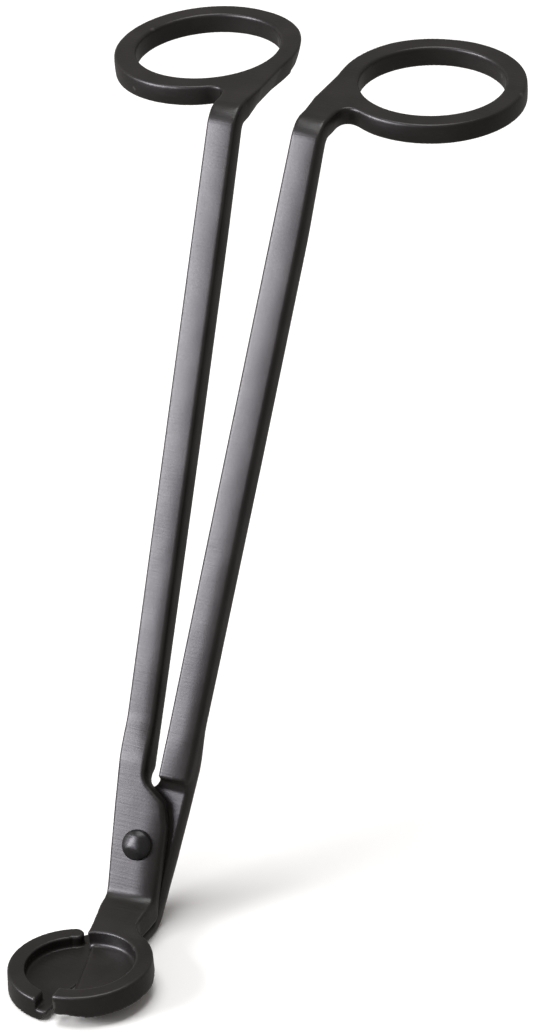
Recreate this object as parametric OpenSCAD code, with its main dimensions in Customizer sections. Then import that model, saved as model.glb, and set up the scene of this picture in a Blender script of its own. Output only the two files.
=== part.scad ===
// Wick trimmer: two crossed halves on one rivet.
// Each half is a finger ring, a flat shank, a lug and half of a shallow round tray.
// All sizes in millimetres. +Z is up with the tray lying flat; the tray's lower half rests on z = 0.
// The origin is the centre of the lower tray half's underside.
// The handles rise backwards (+Y) from the tray, and the finger rings lie parallel to it.

/* [Handle] */
// Angle between the tray and the shanks, degrees
rise = 59.4; // [57:0.1:62]
// Distance from the rivet to the corner where the shank turns into the ring plane
shank_len = 129.7; // [115:0.1:145]
// Width of each shank
shank_w = 5.2; // [4.8:0.1:5.6]
// Thickness of the shank and the finger ring
shank_t = 3.8; // [3.4:0.1:4.2]
// Sideways distance from the rivet to each shank's centre line
shank_off = 3.17; // [3.1:0.01:3.4]
// Extra thickness of the shank along its middle
shank_bow = 0.5; // [0.1:0.1:0.8]
// Inside radius of the bend between shank and ring
bend_r = 1.5; // [1:0.1:2.5]

/* [Finger rings] */
// Inner radius of each finger ring
ring_in = 13.0; // [12:0.1:13.4]
// Outer radius of each finger ring
ring_out = 16.8; // [16:0.1:17]
// Sideways distance from the shank's centre line to the ring's centre
ring_off = 13.24; // [13.2:0.01:14]
// Distance from the bend corner back to the ring's centre
ring_back = 23.1; // [22:0.1:25]
// Radius of the fillet between ring and shank
ring_fillet = 4.0; // [2:0.1:5]

/* [Rivet] */
// Radius of the rivet's shaft
rivet_r = 1.5; // [1.2:0.05:1.8]
// Radius of the rivet's domed front head
head_r = 2.75; // [2.3:0.05:3]
// Height of the domed front head
head_h = 1.7; // [1.2:0.05:2]
// Radius of the peened rear end
peen_r = 2.4; // [2.1:0.05:2.8]
// Height of the peened rear end
peen_h = 0.8; // [0.5:0.05:1.2]
// Radial clearance of the rivet in the front lug
rivet_clear = 0.05; // [0.02:0.01:0.1]

/* [Lugs] */
// How far the front lug stands proud of the shank's front face
lug_front = 1.2; // [0.8:0.1:1.6]
// Depth of the face where the two lugs meet, below the shank's front face
lap = 2.0; // [1.8:0.1:2.2]
// Clearance between the two lugs
lap_gap = 0.06; // [0.05:0.01:0.15]
// Depth of the rear lug's back face below the shank's front face
lug_back = 5.6; // [5.2:0.1:5.8]
// Radius of the rounded shoulder of each lug
lug_r = 4.3; // [4.1:0.1:4.5]

/* [Tray] */
// Height of the rivet axis above the tray's underside, where it crosses the shank's front face
pivot_z = 14.4; // [14.2:0.1:15]
// Distance from the tray's centre back to the same point
pivot_y = 24.94; // [24.8:0.1:26]
// Outer radius of the tray
tray_out = 12.0; // [11.8:0.1:12.2]
// Inner radius of the tray's rim
tray_in = 9.0; // [8.6:0.1:9.3]
// Height of the lower half's rim
low_top = 4.2; // [4:0.1:4.6]
// Height of the lower half's floor
low_floor = 2.1; // [1.9:0.05:2.15]
// Height of the upper half's rim
up_top = 5.85; // [5.6:0.05:6.1]
// Height of the upper half's strap where it bends up to the lug
up_bend = 7.0; // [6.4:0.1:7.4]
// Height of the upper half's floor
up_floor = 3.1; // [3:0.05:3.4]
// Height of the upper half's underside at the front
up_under = 2.2; // [2.18:0.01:2.3]
// Height of the lower edge of the upper half's wall, away from the cutting edge
up_wall = 1.6; // [1.2:0.1:2]
// Rise of the upper half's underside per millimetre towards the back
up_slope = 0.0125; // [0.01:0.0005:0.015]
// Chamfer at the heel of the back half, below its strap
heel = 2.6; // [1:0.1:3]
// Width of the bevel along the upper cutting edge
bevel_up = 1.0; // [0.6:0.1:1.3]
// Width of the bevel under the lower cutting edge
bevel_low = 1.5; // [1:0.1:1.6]

/* [Pose] */
// Angle the front half is opened from parallel shanks, degrees
rest_open = 4.47; // [0.6:0.01:20]

/* [Hidden] */
$fn = 96;
eps = 0.02;
sr = sin(rise);
cr = cos(rise);
// world Y at height z on the plane that lies n in front of the shanks' front face
function plane_y(z, n) = pivot_y + ((z - pivot_z) * cr - n) / sr;
// world point [Y, Z] for a place s along the shank and n in front of its front face
function world_yz(s, n) = [pivot_y + s * cr - n * sr, pivot_z + s * sr + n * cr];
// rings' upper and lower faces
ring_top = pivot_z + shank_len * sr;
ring_bot = ring_top - shank_t;
corner_y = pivot_y + shank_len * cr;
ring_x = shank_off + ring_off;
ring_y = corner_y + ring_back;
// bend between shank and ring
bend_out = bend_r + shank_t;
bend_tan = bend_out * tan(rise / 2);
bend_lip = 0.007;
shank_end = shank_len - bend_tan;
inner_x = shank_off - shank_w / 2;
outer_x = shank_off + shank_w / 2;
// shoulder circle of the lug and the crotch fillet above it
lug_x = 0.1;
lug_s = 4.2;
crotch_r = 3.0;
crotch_x = crotch_r - inner_x - 0.02;
crotch_s = lug_s + sqrt(pow(lug_r + crotch_r - 0.02, 2) - pow(crotch_x - lug_x, 2));
// fillet between the ring's outside and the shank's outer edge
fil_x = outer_x + ring_fillet - 0.02;
fil_y = ring_y - sqrt(pow(ring_out + ring_fillet - 0.02, 2) - pow(ring_x - fil_x, 2));
strap_low = 1.8;
strap_up = 2.5;

// carries a drawing made in shank directions (X, along the shank, out of the front face) into place
module on_shank() {
  translate([0, pivot_y, pivot_z])
    rotate([rise, 0, 0])
      children();
}

// draws a side outline given as world [Y, Z] points, from x0 to x1
module side_slab(x0, x1, pts) {
  translate([x0, 0, 0])
    rotate([90, 0, 90])
      linear_extrude(height = x1 - x0)
        polygon(pts);
}

// shank, lug and neck of one half as seen square to the shank, deep enough for any profile, shank on the left
module arm_blank() {
  union() {
    translate([0, 0, -8])
      linear_extrude(height = 12)
        polygon([
          [-outer_x, shank_end - 1.5], [-inner_x, shank_end - 1.5], [-inner_x, lug_s + 3.5],
          [lug_x + 2.4, lug_s + 2.5], [lug_x + 4.05, lug_s - 0.2], [4.3, 0], [4.15, -3], [3.9, -8], [3.9, -20],
          [-4.55, -20], [-4.6, -11], [-4.75, -7], [-5.1, -1], [-5.55, 6], [-outer_x, 14]
        ]);
    translate([lug_x, lug_s, -8])
      cylinder(r = lug_r, h = 12);
    difference() {
      translate([0, 0, -8])
        linear_extrude(height = 12)
          polygon([
            [-inner_x - 0.5, crotch_s], [crotch_x, crotch_s], [lug_x + 1.6, lug_s + 3], [lug_x + 1, lug_s + 1.5],
            [-inner_x - 0.5, lug_s + 1.5]
          ]);
      translate([crotch_x, crotch_s, -9])
        cylinder(r = crotch_r, h = 14);
    }
  }
}

// shank, lug and neck plate cut to a side profile of [along the shank, out of the front face] points
module arm_plate(profile) {
  on_shank()
    intersection() {
      arm_blank();
      rotate([90, 0, 90])
        translate([0, 0, -12])
          linear_extrude(height = 24)
            polygon(profile);
    }
}

// finger ring with the flat neck between bend and ring and its fillet, ring on the left
module ring_plate() {
  difference() {
    union() {
      translate([-ring_x, ring_y, ring_bot])
        cylinder(r = ring_out, h = shank_t);
      translate([0, 0, ring_bot])
        linear_extrude(height = shank_t)
          polygon([
            [-outer_x, corner_y + bend_tan + 1], [-inner_x, corner_y + bend_tan + 1],
            [-inner_x - 0.6, corner_y + 9], [-inner_x - 0.3, ring_y - 4], [-ring_x, ring_y],
            [-outer_x - 4, ring_y - 9], [-outer_x, ring_y - 12]
          ]);
      difference() {
        translate([0, 0, ring_bot])
          linear_extrude(height = shank_t)
            polygon([
              [-outer_x + 0.5, fil_y], [-fil_x, fil_y], [-fil_x - 1.1, fil_y + 3.6],
              [-ring_x, ring_y], [-outer_x + 0.5, ring_y - 6]
            ]);
        translate([-fil_x, fil_y, ring_bot - 1])
          cylinder(r = ring_fillet, h = shank_t + 2);
      }
    }
    translate([-ring_x, ring_y, ring_bot - 1])
      cylinder(r = ring_in, h = shank_t + 2);
  }
}

// the bend that joins shank and ring, with a short length of each
module ring_bend() {
  difference() {
    side_slab(-outer_x, -inner_x, [
      world_yz(shank_end - 3, 0), world_yz(shank_len, 0), [corner_y + bend_tan + 2, ring_top],
      [corner_y + bend_tan + 2, ring_bot], [corner_y + bend_tan + 0.1, ring_bot],
      [corner_y + bend_tan, ring_top - bend_out], world_yz(shank_end - 0.1, -shank_t),
      world_yz(shank_end - 3, -shank_t)
    ]);
    translate([-outer_x - 1, corner_y + bend_tan, ring_top - bend_out])
      rotate([90, 0, 90])
        union() {
          // rounds the outer side
          difference() {
            linear_extrude(height = shank_w + 2)
              polygon([
                [0, 0], [0, bend_out + 1], [-(bend_out + 1) * tan(rise / 2), bend_out + 1],
                [-(bend_out + 1) * sr, (bend_out + 1) * cr]
              ]);
            translate([0, 0, -1])
              cylinder(r = bend_out + bend_lip, h = shank_w + 4);
          }
          // rounds the inner side
          cylinder(r = bend_r + bend_lip, h = shank_w + 2);
        }
  }
}

// finger ring, neck and bend of one half, on the left
module ring_part() {
  union() {
    ring_plate();
    ring_bend();
  }
}

// what is cut away beyond one straight stretch of a cutting edge; section points are [towards the tray half, up]
module edge_cutter(px, py, lean, section) {
  translate([px, py, 0])
    rotate([0, 0, atan(lean)])
      rotate([90, 0, 0])
        translate([0, 0, -20])
          linear_extrude(height = 40)
            polygon(section);
}

// tray floor to the right of a cutting edge that bends once at (mid_x, mid_y)
module half_floor(r, z0, z1, mid_x, lean_back, lean_front, section) {
  difference() {
    translate([0, 0, z0])
      cylinder(r = r, h = z1 - z0);
    intersection() {
      edge_cutter(mid_x, -5, lean_back, section);
      edge_cutter(mid_x, -5, lean_front, section);
    }
  }
}

// half of the tray's rim, on the right, from front_x at the front to back_x at the back
module half_rim(z0, z1, front_x, back_x) {
  difference() {
    translate([0, 0, z0])
      cylinder(r = tray_out, h = z1 - z0);
    translate([0, 0, z0 - 1])
      cylinder(r = tray_in, h = z1 - z0 + 2);
    translate([0, 0, z0 - 1])
      linear_extrude(height = z1 - z0 + 2)
        polygon([[front_x, 0], [front_x, -14], [-14, -14], [-14, 14], [back_x, 14], [back_x, 0]]);
  }
}

// hinge movement of the front half
module opened(a) {
  translate([0, pivot_y, pivot_z])
    rotate([rise, 0, 0])
      rotate([0, 0, a])
        rotate([-rise, 0, 0])
          translate([0, -pivot_y, -pivot_z])
            children();
}

// front half before it is opened: ring on the left, upper half of the tray on the right
module front_shape() {
  difference() {
    union() {
      ring_part();
      // shank, front lug and the upper part of the neck
      intersection() {
        arm_plate([
          [shank_end - 1.5, 0], [21, 0], [15, lug_front], [-20, lug_front], [-20, -lap],
          [10.15, -lap], [13.1, -shank_t - 0.5 * shank_bow], [32, -shank_t - shank_bow],
          [108, -shank_t - shank_bow], [shank_end - 1.5, -shank_t]
        ]);
        translate([-30, -20, 8])
          cube([60, 200, 200]);
      }
      // neck bend and strap down to the rim
      intersection() {
        side_slab(-4.6, 4.2, [
          [8.6, up_top], [plane_y(up_bend, lug_front), up_bend], world_yz(-6, lug_front),
          world_yz(-6, -lap), [plane_y(strap_up, -lap) + 0.9 * cr, strap_up + 0.9 * sr],
          [plane_y(strap_up, -lap) - 0.9, strap_up], [8.6, strap_up]
        ]);
        union() {
          linear_extrude(height = 8.2)
            polygon([
              [-3.3, 6], [-3.45, 10], [-4.3, 18], [-4.4, 25], [4, 25], [3.9, 18], [3.9, 6]
            ]);
          arm_plate([[10, 4], [-20, 4], [-20, -8], [10, -8]]);
        }
      }
      // fillet of the strap into the rim's outside
      translate([0, 0, strap_up])
        linear_extrude(height = up_top - strap_up)
          difference() {
            polygon([[3.5, 9.5], [3.5, 14.3], [3.9, 14.3], [7.4, 9.4]]);
            translate([6.9, 14.3])
              circle(r = 3.0);
          }
      // rim
      half_rim(up_wall, up_top, -0.6, -3.3);
      // floor with its bevelled cutting edge
      half_floor(tray_out - 0.3, up_under - 0.1, up_floor, -0.36, 0.2034, 0.026, [
        [-30, 0], [0, 0], [0, up_under + 0.1], [bevel_up, up_floor],
        [2 * bevel_up, 2 * up_floor - up_under - 0.1], [-30, 2 * up_floor - up_under - 0.1]
      ]);
    }
    // underside, rising slightly towards the back so that the halves open freely; the wall at the right stays lower
    difference() {
      translate([-20, -12, up_under])
        rotate([atan(up_slope), 0, 0])
          translate([0, -8, -6])
            cube([40, 33, 6]);
      translate([3.4, -16, up_wall])
        cube([20, 20, 6]);
    }
    on_shank()
      translate([0, 0, -lap - 3])
        cylinder(r = rivet_r + rivet_clear, h = lap + lug_front + 6);
  }
}

module front_half() {
  color([0.1, 0.1, 0.1])
    opened(rest_open)
      front_shape();
}

// back half: ring on the right, lower half of the tray on the left
module back_half() {
  color([0.1, 0.1, 0.1])
    mirror([1, 0, 0])
      difference() {
        union() {
          ring_part();
          // shank, rear lug and the upper part of the neck
          intersection() {
            arm_plate([
              [shank_end - 1.5, 0], [12.2, 0], [9.7, -lap - lap_gap], [-20, -lap - lap_gap], [-20, -lug_back],
              [15, -lug_back], [22, -shank_t - 0.8 * shank_bow], [32, -shank_t - shank_bow],
              [108, -shank_t - shank_bow], [shank_end - 1.5, -shank_t]
            ]);
            translate([-30, -20, 7])
              cube([60, 200, 200]);
          }
          // neck bend and strap
          intersection() {
            side_slab(-4.6, 4.2, [
              [8.6, strap_low], [plane_y(strap_low, -lap - lap_gap), strap_low], world_yz(-6, -lap - lap_gap),
              world_yz(-6, -lug_back), [plane_y(0, -lug_back) + heel * cr, heel * sr],
              [plane_y(0, -lug_back) - heel, 0], [8.6, 0]
            ]);
            union() {
              linear_extrude(height = 7.2)
                polygon([
                  [-3.3, 6], [-3.45, 10], [-4.3, 18], [-4.4, 28], [4, 28], [3.9, 18], [3.9, 6]
                ]);
              arm_plate([[10, 4], [-20, 4], [-20, -8], [10, -8]]);
            }
          }
          // fillet of the strap into the floor's outside
          linear_extrude(height = strap_low)
            difference() {
              polygon([[3.5, 9.5], [3.5, 14.3], [3.9, 14.3], [7.4, 9.4]]);
              translate([6.9, 14.3])
                circle(r = 3.0);
            }
          // floor with its cutting edge bevelled from below
          half_floor(tray_out - 0.01, 0, low_floor, -0.65, 0.1954, 0.045, [
            [-30, -1], [bevel_low * (low_floor + 0.85) / (low_floor - 0.15), -1], [0, low_floor - 0.15],
            [0, low_floor + 1], [-30, low_floor + 1]
          ]);
          // rim with a rounded back end
          half_rim(0.5, low_top, 1.9, 5.7);
          translate([4.95, 9.26, 0.6])
            cylinder(r = 1.5, h = low_top - 0.6);
        }
        on_shank()
          translate([0, 0, -lug_back - 2])
            cylinder(r = rivet_r + 0.02, h = lug_back - lap + 4);
      }
}

// rivet: domed front head, shaft and peened rear end
module rivet() {
  dome_r = (head_r * head_r + head_h * head_h) / (2 * head_h);
  peen_dome = (peen_r * peen_r + peen_h * peen_h) / (2 * peen_h);
  color([0.14, 0.14, 0.14])
    on_shank()
      union() {
        translate([0, 0, -lug_back - 0.1])
          cylinder(r = rivet_r, h = lug_back + lug_front + 0.4);
        intersection() {
          translate([0, 0, lug_front + 0.04])
            cylinder(r = head_r, h = head_h);
          translate([0, 0, lug_front + 0.04 + head_h - dome_r])
            sphere(r = dome_r);
        }
        intersection() {
          translate([0, 0, -lug_back - peen_h])
            cylinder(r = peen_r, h = peen_h);
          translate([0, 0, -lug_back - peen_h + peen_dome])
            sphere(r = peen_dome);
        }
      }
}

front_half();
back_half();
rivet();
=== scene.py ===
"""Wick trimmer: two crossed forgings and their rivet, modelled as smooth solids on the CAD frame.

Each piece is a distance field in millimetres, negative inside, and a mesh made from it. Along a
shank, s runs up from the rivet and n stands out of the front face. The front half is drawn closed and
then turned open about the rivet; the back half is drawn with its ring on the left and then mirrored.
"""

import bpy
import math
import numpy as np
from mathutils import Matrix


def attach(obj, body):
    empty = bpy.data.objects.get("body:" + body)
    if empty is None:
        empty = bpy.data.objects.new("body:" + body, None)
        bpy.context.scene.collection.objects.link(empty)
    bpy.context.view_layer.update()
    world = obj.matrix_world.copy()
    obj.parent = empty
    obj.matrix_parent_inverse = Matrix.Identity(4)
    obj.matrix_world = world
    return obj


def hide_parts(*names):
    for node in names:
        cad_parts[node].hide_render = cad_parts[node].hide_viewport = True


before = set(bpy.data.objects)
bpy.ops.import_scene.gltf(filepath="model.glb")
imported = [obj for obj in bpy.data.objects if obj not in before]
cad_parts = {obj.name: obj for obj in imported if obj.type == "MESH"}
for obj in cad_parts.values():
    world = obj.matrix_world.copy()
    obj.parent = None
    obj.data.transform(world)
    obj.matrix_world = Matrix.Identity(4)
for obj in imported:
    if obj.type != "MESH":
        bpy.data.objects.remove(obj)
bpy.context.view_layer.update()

# ---------------------------------------------------------------- sizes, in millimetres, as in the CAD part
# shanks: slope over the table, length from rivet to bend, section, and distance from the middle
RISE = math.radians(59.4)
SIN_RISE = math.sin(RISE)
COS_RISE = math.cos(RISE)
SHANK_LEN = 129.7
SHANK_W = 5.2
SHANK_T = 3.8
SHANK_OFF = 3.17
INNER_X = SHANK_OFF - SHANK_W / 2
OUTER_X = SHANK_OFF + SHANK_W / 2

# the rivet's axis at the level of the shanks' front faces, and the angle from closed to rest about it
PIVOT = np.array([0.0, 24.94, 14.4])
PIVOT_AXIS = np.array([0.0, -SIN_RISE, COS_RISE])
REST_OPEN = math.radians(4.47)

# bend at the top of the shank, and the finger ring behind it
CORNER_Y = PIVOT[1] + SHANK_LEN * COS_RISE
RING_TOP = PIVOT[2] + SHANK_LEN * SIN_RISE
RING_BOTTOM = RING_TOP - SHANK_T
RING_X = SHANK_OFF + 13.24
RING_Y = CORNER_Y + 23.1
RING_HOLE_R = 13.0
# the ring's outside is a slight oval, a little off the hole's centre
OVAL_X, OVAL_Y = -RING_X - 0.3, RING_Y - 0.15
OVAL_ACROSS, OVAL_ALONG, OVAL_MEAN = 16.5, 16.95, 16.7
ARM_END_Y = CORNER_Y + 4.6

# lugs: outer faces and the plane where they meet, from the level of the shanks' front faces
LUG_FRONT = 1.2
LUG_BACK = 5.6
LAP = 2.0
LAP_GAP = 0.06
# how much further a lug's face reaches to each side than half a shank
LUG_WIDER = 2.2

# straps and tray: the back half's are the lower ones, and the floors run into the walls up to FLOOR_R
STRAP_LOW, STRAP_UP = 1.8, 2.5
TRAY_OUT_R, TRAY_IN_R, FLOOR_R = 12.0, 9.0, 10.4
LOW_TOP, LOW_FLOOR, LOW_UNDER = 4.2, 2.1, 0.9
UP_TOP, UP_FLOOR, UP_UNDER = 5.85, 3.1, 2.2
UP_SLOPE = 0.0125
# where each half's wall starts, in front and at the back, and where the cutting edges bend
LOW_WALL_X = (1.9, 5.0)
UP_WALL_X = (-0.6, -2.6)
EDGE_BEND_Y = -5

# forged surface: how far the sides swell, and the radius along the long edges and the honed ones
SWELL = 0.3
EDGE_R = 0.34
HONED_R = 0.06

# the box that holds each piece as it is drawn, and the spacing of the points in it
FRONT_BOX = ((-34.5, -13, 1.5), (13, 132, 128))
BACK_BOX = ((-34.5, -13, -0.7), (13, 132, 128))
RIVET_BOX = ((-3.2, 20, 7.5), (3.2, 33, 19))
FORGING_GRID = 0.32
RIVET_GRID = 0.16


# ---------------------------------------------------------------- distance fields
def cut(a, b, r):
    """Where both hold: the shared edge is rounded to radius r."""
    u, v = np.maximum(a + r, 0), np.maximum(b + r, 0)
    return np.minimum(np.maximum(a, b), -r) + np.hypot(u, v)


def join(a, b, r):
    """Where either holds: the corner between them is filled to radius r."""
    u, v = np.maximum(r - a, 0), np.maximum(r - b, 0)
    return np.maximum(np.minimum(a, b), r) - np.hypot(u, v)


def slab(z, low, high):
    """Between two levels."""
    return np.maximum(low - z, z - high)


def ramp(v, start, end):
    """Rises evenly from 0 at start to 1 at end, and is level on both sides of that."""
    return np.clip((v - start) / (end - start), 0, 1)


def rounded_corner(before, corner, after, r, step):
    """Points along the arc of radius r, or less where a side is short, that rounds one corner."""
    a, b = before - corner, after - corner
    length_a, length_b = np.hypot(*a), np.hypot(*b)
    a, b = a / length_a, b / length_b
    half = math.acos(max(-1.0, min(1.0, float(a @ b)))) / 2
    if r <= 0 or half > math.pi / 2 - 1e-3:
        return [corner]
    back = min(r / math.tan(half), 0.49 * length_a, 0.49 * length_b)
    r = back * math.tan(half)
    centre = corner + (a + b) / np.hypot(*(a + b)) * (r / math.sin(half))
    first, last = corner + a * back - centre, corner + b * back - centre
    turn = math.atan2(first[0] * last[1] - first[1] * last[0], first @ last)
    parts = max(2, int(abs(turn) * r / step) + 1, int(abs(turn) / 0.18) + 1)
    across = np.array([-first[1], first[0]])
    angles = [turn * j / parts for j in range(parts + 1)]
    return [centre + first * math.cos(t) + across * math.sin(t) for t in angles]


def filleted(corners, step=0.3):
    """A closed outline from (x, y, radius) corners, each rounded to its radius."""
    at = [np.array(corner[:2]) for corner in corners]
    points = []
    for i, corner in enumerate(corners):
        points += rounded_corner(at[i - 1], at[i], at[(i + 1) % len(at)], corner[2], step)
    return np.array(points)


def outline_distance(px, py, outline):
    """Signed distance to a closed outline, negative inside."""
    tiny = 1e-12
    best = np.full(px.shape, 1e9)
    inside = np.zeros(px.shape, bool)
    for (ax, ay), (bx, by) in zip(outline, np.roll(outline, -1, axis=0)):
        ex, ey = bx - ax, by - ay
        wx, wy = px - ax, py - ay
        t = np.clip((wx * ex + wy * ey) / (ex * ex + ey * ey + tiny), 0, 1)
        best = np.minimum(best, (wx - ex * t) ** 2 + (wy - ey * t) ** 2)
        crosses = (ay > py) != (by > py)
        inside ^= crosses & (px < ex * (py - ay) / (ey if abs(ey) > tiny else tiny) + ax)
    return np.where(inside, -1.0, 1.0) * np.sqrt(best)


def along(y, z):
    """Distance s along the shank from the rivet, and height n above the shank's front face."""
    y, z = y - PIVOT[1], z - PIVOT[2]
    return y * COS_RISE + z * SIN_RISE, -y * SIN_RISE + z * COS_RISE


# ---------------------------------------------------------------- outlines of a half
# shank and lug square to the shank's front face: (x, s, radius)
ARM_PLAN = filleted([
    (-OUTER_X - SWELL, 400, 0), (-INNER_X + SWELL, 400, 0), (-INNER_X + SWELL, SHANK_LEN, 0),
    (-INNER_X + SWELL - 0.2, 11.5, 3.0), (3.6, 8.1, 2.6),
    (4.6, 3.5, 6), (4.55, -2, 6), (4.5, -8, 0), (4.5, -40, 0), (-4.75, -40, 0), (-4.8, -11, 4),
    (-4.95, -7, 10), (-5.3, -1, 20), (-5.7, 7, 30), (-OUTER_X - SWELL, 17, 30)])
# strap between lug and tray, from above: (x, y, radius)
STRAP_PLAN = filleted([
    (-3.3, 7, 0), (-3.45, 10, 4), (-4.5, 17, 8), (-4.7, 40, 0), (4.5, 40, 0), (4.45, 17, 8), (3.9, 7, 0)])
# neck between bend and finger ring, from above: (x, y, radius)
NECK_PLAN = filleted([
    (-OUTER_X - SWELL, CORNER_Y - 30, 0), (-INNER_X + SWELL, CORNER_Y - 30, 0),
    (-INNER_X + SWELL, CORNER_Y + 5, 12), (-INNER_X + 0.1, CORNER_Y + 10.5, 20),
    (-INNER_X + 0.1, RING_Y, 0), (-RING_X, RING_Y, 0),
    (-OUTER_X - 5, RING_Y - 9, 0), (-OUTER_X - SWELL, RING_Y - 13, 0)])


def lug_foot_y(n, z):
    """Where the lug's plane at height n comes down to the level z."""
    return PIVOT[1] + ((z - PIVOT[2]) * COS_RISE - n) / SIN_RISE


def shank_side():
    """The part of the side profile that both halves share, (s, n, radius): neck, bend and shank's back."""
    # past the bend the profile runs on level, further than the arm is used
    neck = 12
    neck_s, neck_n = SHANK_LEN + neck * COS_RISE, -neck * SIN_RISE
    inner_corner = SHANK_LEN - SHANK_T * math.tan(RISE / 2)
    return [
        (SHANK_LEN, 0, 5.3), (neck_s, neck_n, 0),
        (neck_s - SHANK_T * SIN_RISE, neck_n - SHANK_T * COS_RISE, 0), (inner_corner, -SHANK_T, 1.5),
        (108, -SHANK_T - 0.5, 90), (70, -SHANK_T - 0.7, 90), (32, -SHANK_T - 0.5, 60)]


def front_side():
    """Side profile of the front half, from the ring's neck down to the front of the tray."""
    heel = lug_foot_y(-LAP, STRAP_UP)
    return filleted(shank_side() + [
        (13.4, -SHANK_T - 0.3, 1.2), (10.9, -LAP, 0.5), (*along(heel, STRAP_UP), 1.6),
        (*along(9.6, STRAP_UP), 0), (*along(9.6, UP_UNDER - 1), 0), (*along(-14, UP_UNDER - 1), 0),
        (*along(-14, UP_TOP), 0), (*along(8.9, UP_TOP), 4), (-9.3, LUG_FRONT, 2.6), (15, LUG_FRONT, 14),
        (22, 0, 14)])


def back_side():
    """Side profile of the back half, from the ring's neck down to the front of the tray."""
    heel = lug_foot_y(0.8 - LUG_BACK, 0)
    inner_heel = lug_foot_y(-LAP - LAP_GAP, STRAP_LOW)
    return filleted(shank_side() + [
        (22, -SHANK_T - 0.35, 12), (15, -LUG_BACK, 10), (-1, -LUG_BACK, 20), (*along(heel, 0), 5.0),
        (*along(-14, 0), 0), (*along(-14, LOW_FLOOR), 0), (*along(12.1, LOW_FLOOR), 1),
        (*along(12.9, STRAP_LOW), 1), (*along(inner_heel, STRAP_LOW), 0.8),
        (10.5, -LAP - LAP_GAP, 1), (11.9, -1.45, 1), (12.4, 0, 0.35)])


SIDE_FRONT = front_side()
SIDE_BACK = back_side()


# ---------------------------------------------------------------- the two halves
def swell(depth):
    """How far the sides stand back from the full width: not at all in mid-thickness, most at the faces."""
    return SWELL * np.clip(1 + depth / (SHANK_T / 2), 0, 1.15) ** 2


def face_drop(x, s, right):
    """How far the front face falls off from its middle, most on the side given by right (1 or -1)."""
    # from the middle (0) to the edge (1), on the lug as well as on the narrower shank
    on_shank = ramp(s, 6, 20)
    across = right * (x + SHANK_OFF * on_shank) / (SHANK_W / 2 + LUG_WIDER * (1 - on_shank))
    crown = np.where(across > 0, 0.17 + 0.22 * ramp(s, 70, 15), 0.14)
    # one edge of the lug is rounder still, above all below the rivet
    shoulder = 0.35 * ramp(s, 12, 4) + 0.4 * ramp(s, 3, -3) * ramp(s, -11.5, -7.5)
    return crown * np.clip(np.abs(across), 0, 1.2) ** 2 + shoulder * np.clip(across, 0, 1.2) ** 3


def half_body(p, side, tray_plan, right, outer_extra):
    """Shank, lug and strap, with the tray part of the given outline, cut once by the side profile.

    right is the side on which the front face falls off most, outer_extra widens the outer side.
    """
    x, y, z = p.T
    s, n = along(y, z)
    profile = outline_distance(s, n, side)
    profile = profile + face_drop(x, s, right) * ramp(n, -1.2, -0.6) * ramp(s, -11, -9)
    arm = outline_distance(x, s, ARM_PLAN) + swell(profile)
    # the outer side can be fuller, more so below the rivet and not at all at the ring's neck
    outer = outer_extra * (1 + 0.6 * ramp(s, 0, -10)) * ramp(s, SHANK_LEN - 4, SHANK_LEN - 19)
    arm = arm - outer * ramp(x, -SHANK_OFF, -SHANK_OFF - 1)
    strap = outline_distance(x, y, STRAP_PLAN) - outer * ramp(x, -2, -3) * ramp(y, 12, 16)
    foot = np.where(x > 0, join(tray_plan, strap, 2.6), np.minimum(tray_plan, strap))
    # the arm's outline gives way to the strap's at the foot of the lug
    arm_share = np.where(y < 13, 0, ramp(s, -12.5, -9))
    body = cut(arm * arm_share + foot * (1 - arm_share), profile, EDGE_R)
    return np.maximum(body, y - ARM_END_Y)


def ring(p):
    """Finger ring and neck, with the ring on the left."""
    x, y, z = p.T
    oval = (np.hypot((x - OVAL_X) / OVAL_ACROSS, (y - OVAL_Y) / OVAL_ALONG) - 1) * OVAL_MEAN
    neck = np.maximum(outline_distance(x, y, NECK_PLAN), (CORNER_Y + 3.3) - y)
    plan = np.where(x < -RING_X + RING_HOLE_R, join(oval, neck, 3.6), join(oval, neck, 0.8))
    plate = slab(z, RING_BOTTOM, RING_TOP)
    # the side towards the other ring is drafted, wider at the top
    behind = ramp(y, ARM_END_Y, ARM_END_Y + 5)
    over_middle = (z - RING_TOP + SHANK_T / 2) / (SHANK_T / 2)
    draft = 0.62 * over_middle * ramp(x, 4 - RING_X, 13 - RING_X)
    plan = plan + (SWELL - 0.2 * behind) / SWELL * swell(plate) - draft * behind
    hole = RING_HOLE_R - np.hypot(x + RING_X, y - RING_Y)
    return cut(cut(plan, plate, 0.38), hole, 0.5)


def half_plane(x, y, px, py, lean):
    """Negative to the right of a line that passes (px, py) and leans to the left by lean as y rises."""
    return -((x - px) + lean * (y - py)) / math.hypot(1, lean)


def cutting_edge(x, y, px, lean_behind, lean_ahead):
    """Negative to the right of a cutting edge that passes px and bends a little there."""
    behind = half_plane(x, y, px, EDGE_BEND_Y, lean_behind)
    ahead = half_plane(x, y, px, EDGE_BEND_Y, lean_ahead)
    return np.minimum(behind, ahead)


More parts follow.
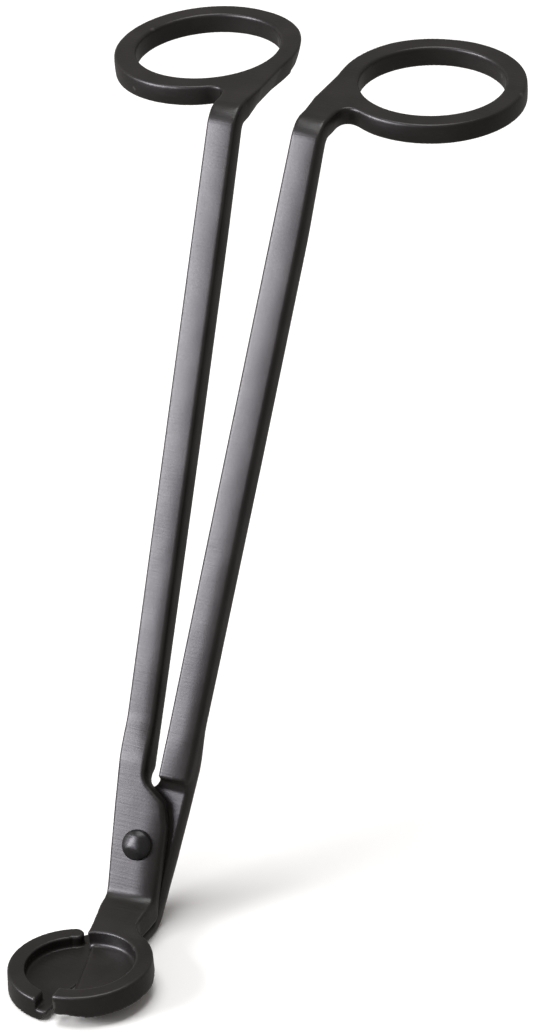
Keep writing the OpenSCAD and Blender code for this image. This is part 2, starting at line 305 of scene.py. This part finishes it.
def front_field(p):
    """The half with the left ring, the front lug and the upper, right half of the tray."""
    x, y, z = p.T
    r = np.hypot(x, y)
    sector = cut(r - TRAY_OUT_R, np.where(y < 0, *UP_WALL_X) - x, 0.2)
    rim = cut(half_body(p, SIDE_FRONT, sector, 1, 0.0), TRAY_IN_R - r, 0.2)
    # the bevel of the cutting edge widens towards the front
    edge = cutting_edge(x, y, -0.36, 0.2034, 0.026)
    width = 0.5 + 0.99 * ramp(y, 8, -10)
    height = UP_FLOOR - UP_UNDER - 0.1
    bevel = (height * edge + width * (z - UP_FLOOR + height)) / np.hypot(height, width)
    floor = cut(cut(r - FLOOR_R, slab(z, UP_UNDER - 1, UP_FLOOR), 0.1), edge, HONED_R)
    body = join(rim, cut(floor, bevel, HONED_R), 0.8)
    # the underside rises a little towards the back, and the wall reaches lower away from the cutting edge
    away = ramp(x, 1.9, 5.9)
    lower = 0.6 * away * away * (3 - 2 * away) * ramp(y, 5, 2) * ramp(r, TRAY_IN_R - 0.8, TRAY_IN_R)
    under = UP_UNDER + UP_SLOPE * (y + TRAY_OUT_R) - lower
    return np.minimum(cut(body, under - z, 0.14), ring(p))


def back_field(p):
    """The half with the rear lug and the lower half of the tray, drawn with its ring on the left."""
    x, y, z = p.T
    r = np.hypot(x, y)
    edge = cutting_edge(x, y, -0.65, 0.1954, 0.045)
    width, height = 1.5, LOW_FLOOR - 0.15
    bevel = (edge + width * (1 - z / height) * ramp(y, 10, 8)) / math.hypot(1, width / height)
    body = half_body(p, SIDE_BACK, r - TRAY_OUT_R, -1, 0.3)
    in_tray = (y < TRAY_OUT_R) & (z < 8)
    body = np.where(in_tray, cut(cut(body, edge, HONED_R), bevel, HONED_R), body)
    # the wall is square in front, and ends in a half circle across its thickness at the back
    plan = cut(r - TRAY_OUT_R, np.where(y < 0, *LOW_WALL_X) - x, 0.3)
    end_x = LOW_WALL_X[1] - 0.05
    end_y = math.sqrt(((TRAY_OUT_R + TRAY_IN_R) / 2) ** 2 - end_x ** 2)
    plan = np.minimum(plan, np.hypot(x - end_x, y - end_y) - (TRAY_OUT_R - TRAY_IN_R) / 2)
    rim = cut(cut(plan, slab(z, 0.0, LOW_TOP), 0.45), TRAY_IN_R - r, 0.2)
    floor = cut(cut(r - FLOOR_R, slab(z, LOW_UNDER, LOW_FLOOR), 0.1), edge, HONED_R)
    rim = join(rim, cut(floor, bevel, HONED_R), 0.4)
    return np.minimum(np.minimum(body, rim), ring(p))


# ---------------------------------------------------------------- the rivet
SHAFT_R = 1.5
HEAD_R = 2.75
HEAD_BASE = LUG_FRONT + 0.04
HEAD_TOP = HEAD_BASE + 1.7
TAIL_H = 0.8
# flats left by the hammer: lean in x, lean along the shank, how deep each is below the dome
FLATS = ((0.42, 0.10, 0.10), (-0.36, 0.16, 0.09), (-0.05, -0.44, 0.10), (0.03, 0.02, 0.07))


def cap_radius(reach, height):
    """Radius of the sphere whose cap has that height and reaches that far from its axis."""
    return (reach ** 2 + height ** 2) / (2 * height)


def rivet_field(p):
    """Shaft, hammered dome in front and low formed tail behind."""
    x = p[:, 0]
    s, n = along(p[:, 1], p[:, 2])
    r = np.hypot(x, s)
    shaft = cut(r - SHAFT_R, slab(n, -LUG_BACK - 0.1, LUG_FRONT + 0.4), 0.05)
    dome_r = cap_radius(3.05, 1.45)
    centre = HEAD_TOP - dome_r
    dome = cut(np.hypot(r, n - centre) - dome_r, HEAD_BASE - n, 0.1)
    dome = cut(dome, r - HEAD_R, 0.3)
    for lean_x, lean_s, depth in FLATS:
        out = math.sqrt(1 - lean_x ** 2 - lean_s ** 2)
        flat = x * lean_x + s * lean_s + (n - centre) * out - (dome_r - depth)
        dome = cut(dome, flat, 0.3)
    tail_r = cap_radius(2.4, TAIL_H)
    tail = cut(np.hypot(r, n + LUG_BACK + TAIL_H - tail_r) - tail_r, n + LUG_BACK, 0.15)
    return np.minimum(np.minimum(shaft, dome), tail)


# ---------------------------------------------------------------- from a field to a mesh
# grid steps in a block, value given to points deep inside or far outside, moves onto the surface
BLOCK = 8
FAR = 9.0
MOVES = 5


def gradient(field, p, h=0.04):
    """Slope of the field at each point."""
    slope = np.empty_like(p)
    for k in range(3):
        shift = np.zeros(3)
        shift[k] = h
        slope[:, k] = (field(p + shift) - field(p - shift)) / (2 * h)
    return slope


def index_grid(*counts):
    """Every index of an array of that size, one a row."""
    return np.stack(np.meshgrid(*[np.arange(count) for count in counts], indexing="ij"), -1).reshape(-1, 3)


def sample(field, low, high, step):
    """The field on a grid, worked out only in the blocks near the surface."""
    counts = np.ceil((high - low) / step / BLOCK).astype(int)
    grid = np.full(counts * BLOCK + 1, FAR, np.float32)
    blocks = index_grid(*counts)
    middle = field(low + (blocks * BLOCK + BLOCK // 2) * step)
    # half a block's diagonal, and some more because the fields aren't exact distances
    reach = step * BLOCK * 0.87 * 1.35
    for i, j, k in blocks[middle < -reach] * BLOCK:
        grid[i:i + BLOCK + 1, j:j + BLOCK + 1, k:k + BLOCK + 1] = -FAR
    near = blocks[np.abs(middle) <= reach]
    offsets = index_grid(BLOCK + 1, BLOCK + 1, BLOCK + 1)
    for part in np.array_split(near, max(1, len(near) // 400)):
        index = (part[:, None, :] * BLOCK + offsets[None]).reshape(-1, 3)
        grid[tuple(index.T)] = field(low + index * step)
    return grid


def crossed_cells(inside):
    """The grid cells that the surface passes through."""
    corners = np.zeros(np.array(inside.shape) - 1, np.int8)
    end = np.array(corners.shape)
    for i, j, k in np.ndindex(2, 2, 2):
        corners += inside[i:end[0] + i, j:end[1] + j, k:end[2] + k]
    return np.argwhere((corners > 0) & (corners < 8))


def cell_points(grid, cells):
    """In each cell, the mean of the places where the surface crosses its edges, in grid steps."""
    total = np.zeros((len(cells), 3))
    count = np.zeros(len(cells))
    for axis in range(3):
        others = [k for k in range(3) if k != axis]
        for a, b in np.ndindex(2, 2):
            start = cells.copy()
            start[:, others[0]] += a
            start[:, others[1]] += b
            end = start.copy()
            end[:, axis] += 1
            value, next_value = grid[tuple(start.T)], grid[tuple(end.T)]
            crosses = (value < 0) != (next_value < 0)
            place = start.astype(float)
            place[:, axis] += np.where(crosses, value / np.where(crosses, value - next_value, 1), 0)
            total[crosses] += place[crosses]
            count[crosses] += 1
    return total / count[:, None]


def cell_quads(inside, number):
    """A quad across each grid edge that the surface crosses, facing out of the solid."""
    quads = []
    for axis in range(3):
        u, v = (axis + 1) % 3, (axis + 2) % 3
        below, above = [slice(None)] * 3, [slice(None)] * 3
        below[axis], above[axis] = slice(0, -1), slice(1, None)
        start, end = inside[tuple(below)], inside[tuple(above)]
        edges = np.argwhere(start != end)
        within_u = (edges[:, u] > 0) & (edges[:, u] < inside.shape[u] - 1)
        within_v = (edges[:, v] > 0) & (edges[:, v] < inside.shape[v] - 1)
        edges = edges[within_u & within_v]
        around = []
        for du, dv in ((-1, -1), (0, -1), (0, 0), (-1, 0)):
            cell = edges.copy()
            cell[:, u] += du
            cell[:, v] += dv
            around.append(number[tuple(cell.T)])
        quad = np.stack(around, 1)
        enters = ~start[tuple(edges.T)]
        quad[enters] = quad[enters][:, ::-1]
        quads.append(quad)
    return np.vstack(quads)


def settled(field, points, quads):
    """The points moved onto the surface, and spread evenly along it between the moves."""
    edges = np.sort(np.vstack([quads[:, [k, (k + 1) % 4]] for k in range(4)]), axis=1)
    first, second = np.unique(edges, axis=0).T
    degree = (np.bincount(first, minlength=len(points)) + np.bincount(second, minlength=len(points)))[:, None]
    for move in range(MOVES):
        slope = gradient(field, points)
        steepness = np.maximum((slope ** 2).sum(1), 0.2)
        distance = np.clip(field(points), -0.3, 0.3)
        points = points - slope * (distance / steepness)[:, None]
        if move == MOVES - 1:
            break
        mean = np.zeros_like(points)
        for k in range(3):
            mean[:, k] = (np.bincount(first, points[second, k], len(points))
                          + np.bincount(second, points[first, k], len(points)))
        shift = mean / degree - points
        normal = slope / np.sqrt(steepness)[:, None]
        shift -= normal * (shift * normal).sum(1)[:, None]
        points = points + 0.5 * shift
    return points


def surface(field, low, high, step):
    """Points and quads on the field's zero surface."""
    low, high = np.array(low, float), np.array(high, float)
    grid = sample(field, low, high, step)
    cells = crossed_cells(grid < 0)
    number = np.full(np.array(grid.shape) - 1, -1, np.int32)
    number[tuple(cells.T)] = np.arange(len(cells))
    quads = cell_quads(grid < 0, number)
    return settled(field, low + step * cell_points(grid, cells), quads), quads


def turned(p, angle):
    """Points turned about the rivet's axis."""
    q = p - PIVOT
    c, s = math.cos(angle), math.sin(angle)
    return q * c + np.cross(PIVOT_AXIS, q) * s + np.outer(q @ PIVOT_AXIS, PIVOT_AXIS) * (1 - c) + PIVOT


def make_object(name, points, quads, body, node, material):
    """A smooth mesh that rides on a CAD body and stands for one of its nodes."""
    mesh = bpy.data.meshes.new(name)
    mesh.from_pydata((points * 0.001).tolist(), [], quads.tolist())
    mesh.validate()
    mesh.update()
    mesh.polygons.foreach_set("use_smooth", [True] * len(mesh.polygons))
    obj = bpy.data.objects.new(name, mesh)
    bpy.context.scene.collection.objects.link(obj)
    mesh.materials.append(material)
    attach(obj, body)
    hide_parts(node)


# ---------------------------------------------------------------- materials
WORN_COLOUR = (0.09, 0.085, 0.085, 1)


def noise(tree, vector, scale, detail):
    """Height of a noise pattern at the given place."""
    node = tree.nodes.new("ShaderNodeTexNoise")
    node.inputs["Scale"].default_value = scale
    node.inputs["Detail"].default_value = detail
    tree.links.new(vector, node.inputs["Vector"])
    return node.outputs["Fac"]


def spread(tree, value, start, end, low, high):
    """The value, mapped from the range start to end onto the range low to high."""
    node = tree.nodes.new("ShaderNodeMapRange")
    node.inputs["From Min"].default_value = start
    node.inputs["From Max"].default_value = end
    node.inputs["To Min"].default_value = low
    node.inputs["To Max"].default_value = high
    tree.links.new(value, node.inputs["Value"])
    return node.outputs["Result"]


def cloudy_tint(tree, cloud, tint):
    """The tint, a little darker and lighter in clouds."""
    node = tree.nodes.new("ShaderNodeValToRGB")
    dark, light = node.color_ramp.elements
    dark.position = 0.35
    dark.color = (*[c * 0.8 for c in tint], 1)
    light.position = 0.68
    light.color = (*[c * 1.25 for c in tint], 1)
    tree.links.new(cloud, node.inputs["Fac"])
    return node.outputs["Color"]


def worn_edges(tree, colour):
    """The colour, lighter along edges that stand out."""
    geometry = tree.nodes.new("ShaderNodeNewGeometry")
    worn = spread(tree, geometry.outputs["Pointiness"], 0.52, 0.62, 0.0, 0.35)
    mix = tree.nodes.new("ShaderNodeMix")
    mix.data_type = "RGBA"
    sockets = {socket.name: socket for socket in mix.inputs if socket.type == "RGBA"}
    sockets["B"].default_value = WORN_COLOUR
    tree.links.new(worn, mix.inputs[0])
    tree.links.new(colour, sockets["A"])
    return [socket for socket in mix.outputs if socket.type == "RGBA"][0]


def coated_steel(name, tint, grain_scale):
    """Satin black coating: brown-black, slightly uneven, finely grained, a little worn along its edges."""
    material = bpy.data.materials.new(name)
    material.use_nodes = True
    tree = material.node_tree
    shader = tree.nodes["Principled BSDF"]
    shader.inputs["Metallic"].default_value = 0.0
    shader.inputs["Specular IOR Level"].default_value = 0.3
    place = tree.nodes.new("ShaderNodeTexCoord").outputs["Object"]
    colour = cloudy_tint(tree, noise(tree, place, 140, 4), tint)
    tree.links.new(worn_edges(tree, colour), shader.inputs["Base Color"])
    grain = noise(tree, place, grain_scale, 3)
    tree.links.new(spread(tree, grain, 0, 1, 0.30, 0.42), shader.inputs["Roughness"])
    # brush lines run across the faces
    across = tree.nodes.new("ShaderNodeMapping")
    across.inputs["Scale"].default_value = (90, 2400, 2400)
    tree.links.new(place, across.inputs["Vector"])
    brush = noise(tree, across.outputs["Vector"], 1.0, 2)
    # slow unevenness of the forged surface
    slow = noise(tree, place, 70, 2)
    bump = None
    for height, distance, strength in ((slow, 0.0006, 0.5), (brush, 0.00006, 0.35), (grain, 0.00003, 0.3)):
        under = bump
        bump = tree.nodes.new("ShaderNodeBump")
        bump.inputs["Strength"].default_value = strength
        bump.inputs["Distance"].default_value = distance
        tree.links.new(height, bump.inputs["Height"])
        if under:
            tree.links.new(under.outputs["Normal"], bump.inputs["Normal"])
    tree.links.new(bump.outputs["Normal"], shader.inputs["Normal"])
    return material


# ---------------------------------------------------------------- the three pieces
steel = coated_steel("coated_steel", (0.0115, 0.0102, 0.0095), 2600)
rivet_steel = coated_steel("coated_rivet", (0.008, 0.0074, 0.0076), 1800)

points, quads = surface(front_field, *FRONT_BOX, FORGING_GRID)
points = turned(points, REST_OPEN)
make_object("front_half_forging", points, quads, "front_half", "front_half", steel)

points, quads = surface(back_field, *BACK_BOX, FORGING_GRID)
points[:, 0] *= -1
make_object("back_half_forging", points, quads[:, ::-1], "back_half", "back_half", steel)

points, quads = surface(rivet_field, *RIVET_BOX, RIVET_GRID)
make_object("rivet_hammered", points, quads, "back_half", "rivet", rivet_steel)


# ---------------------------------------------------------------- floor, light and camera, in metres
def make_floor():
    """A plain pale table top that isn't mirrored in the coating."""
    mesh = bpy.data.meshes.new("floor")
    mesh.from_pydata([(-4, -4, 0), (4, -4, 0), (4, 6, 0), (-4, 6, 0)], [], [(0, 1, 2, 3)])
    floor = bpy.data.objects.new("floor", mesh)
    floor.location.z = -0.00002
    bpy.context.scene.collection.objects.link(floor)
    paint = bpy.data.materials.new("floor_paint")
    paint.use_nodes = True
    shader = paint.node_tree.nodes["Principled BSDF"]
    shader.inputs["Base Color"].default_value = (0.93, 0.925, 0.92, 1)
    shader.inputs["Roughness"].default_value = 0.9
    mesh.materials.append(paint)
    floor.visible_glossy = False


def make_world():
    """Soft, slightly warm light from all around."""
    world = bpy.data.worlds.new("studio")
    bpy.context.scene.world = world
    world.use_nodes = True
    background = world.node_tree.nodes["Background"]
    background.inputs["Color"].default_value = (1.0, 0.95, 0.91, 1)
    background.inputs["Strength"].default_value = 0.30


def placed(right, up, back, place):
    """Matrix of an object at a place, with its own axes in those directions."""
    return Matrix([[right[k], up[k], back[k], place[k]] for k in range(3)] + [[0, 0, 0, 1]])


def area_light(name, place, aim, size, power, tint=(1, 1, 1), roll=0.0):
    """A rectangular lamp that shines from place towards aim."""
    lamp = bpy.data.lights.new(name, "AREA")
    lamp.shape = "RECTANGLE"
    lamp.size, lamp.size_y = size
    lamp.energy = power
    lamp.color = tint
    obj = bpy.data.objects.new(name, lamp)
    bpy.context.scene.collection.objects.link(obj)
    back = np.array(place, float) - np.array(aim, float)
    back /= np.linalg.norm(back)
    right = np.cross([0, 0, 1], back)
    right /= np.linalg.norm(right)
    up = np.cross(back, right)
    c, s = math.cos(roll), math.sin(roll)
    obj.matrix_world = placed(right * c + up * s, up * c - right * s, back, place)
    return obj


def make_camera():
    """Camera that looks down at the rivet from the front right, with the rivet left of and below centre."""
    azimuth, elevation, roll = math.radians(27.1007), math.radians(30.5994), math.radians(-1.6466)
    distance, rightward, upward = 1.24535, 0.02219, 0.05737
    data = bpy.data.cameras.new("camera")
    data.sensor_width = 36.0
    data.lens = 247.22
    data.clip_start = 0.05
    camera = bpy.data.objects.new("camera", data)
    bpy.context.scene.collection.objects.link(camera)
    ca, sa = math.cos(azimuth), math.sin(azimuth)
    ce, se = math.cos(elevation), math.sin(elevation)
    cr, sr = math.cos(roll), math.sin(roll)
    level = np.array([ca, sa, 0])
    upright = np.array([-sa * se, ca * se, ce])
    back = np.array([sa * ce, -ca * ce, se])
    right, up = level * cr + upright * sr, upright * cr - level * sr
    place = PIVOT * 0.001 + right * rightward + up * upward + back * distance
    camera.matrix_world = placed(right, up, back, place)
    bpy.context.scene.camera = camera


make_floor()
make_world()
# the sheen lamp is only mirrored in the coating, the other two light the whole table
sheen = area_light("sheen", (-0.56, -0.58, 0.44), (0, 0.05, 0.06), (0.74, 0.5), 16, (0.92, 0.88, 1.0), 0.35)
sheen.visible_diffuse = False
area_light("key", (-0.72, -0.6, 0.5), (0, 0.05, 0.03), (0.5, 0.4), 11)
area_light("top", (-0.1, 0.1, 1.3), (0, 0.05, 0.0), (0.8, 0.8), 14)
make_camera()
bpy.context.scene.view_settings.view_transform = "Standard"
